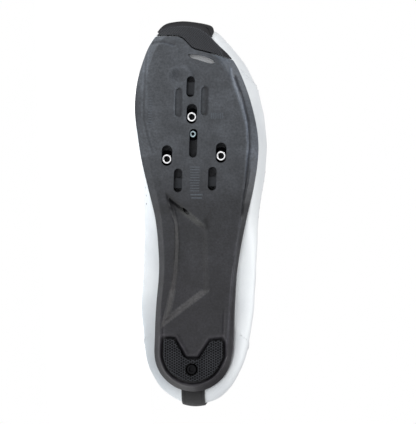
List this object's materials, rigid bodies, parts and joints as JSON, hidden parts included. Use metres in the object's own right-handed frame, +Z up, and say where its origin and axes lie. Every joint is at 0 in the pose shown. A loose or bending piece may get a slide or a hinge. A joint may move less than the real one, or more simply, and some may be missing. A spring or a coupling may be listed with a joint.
{
  "type": "road cycling shoe",
  "caption": "Low road cycling shoe with a stiff moulded sole, cleat slots, toe bumper, heel pad and hook-and-loop straps, lying on its inner side.",
  "frame": {"origin": "middle of the object's box on the floor it lies on", "axes": "X runs along the shoe with the toe at -X, -Y is the side the sole faces, Z is up, with the inner side of the shoe on the floor"},
  "size_m": [0.2866, 0.112, 0.0979],
  "materials": {
    "sole_shell": "satin",
    "bumper_rubber": "matte",
    "pad_rubber": "matte",
    "nut_steel": "polished",
    "screw_steel": "satin",
    "plate_metal": "satin",
    "screen_mesh": "satin",
    "upper_microfibre": "satin",
    "tongue_cloth": "matte",
    "insole_foam": "matte",
    "strap_microfibre": "satin",
    "strip_webbing": "matte"
  },
  "bodies": {
    "root": {"outsole": "sole_shell", "toe_bumper": "bumper_rubber", "heel_pad": "pad_rubber", "heel_pad_screw": "screw_steel", "cleat_nut_front": "nut_steel", "cleat_nut_inner": "nut_steel", "cleat_nut_outer": "nut_steel", "centre_nut": "nut_steel", "slot_plate_front": "plate_metal", "slot_plate_inner": "plate_metal", "slot_plate_outer": "plate_metal", "vent_screen": "screen_mesh", "insole": "insole_foam", "upper": "upper_microfibre", "tongue": "tongue_cloth", "strap_top": "strap_microfibre", "strap_middle": "strap_microfibre", "strap_front": "strap_microfibre", "heel_strip": "strip_webbing"}
  },
  "joints": []
}
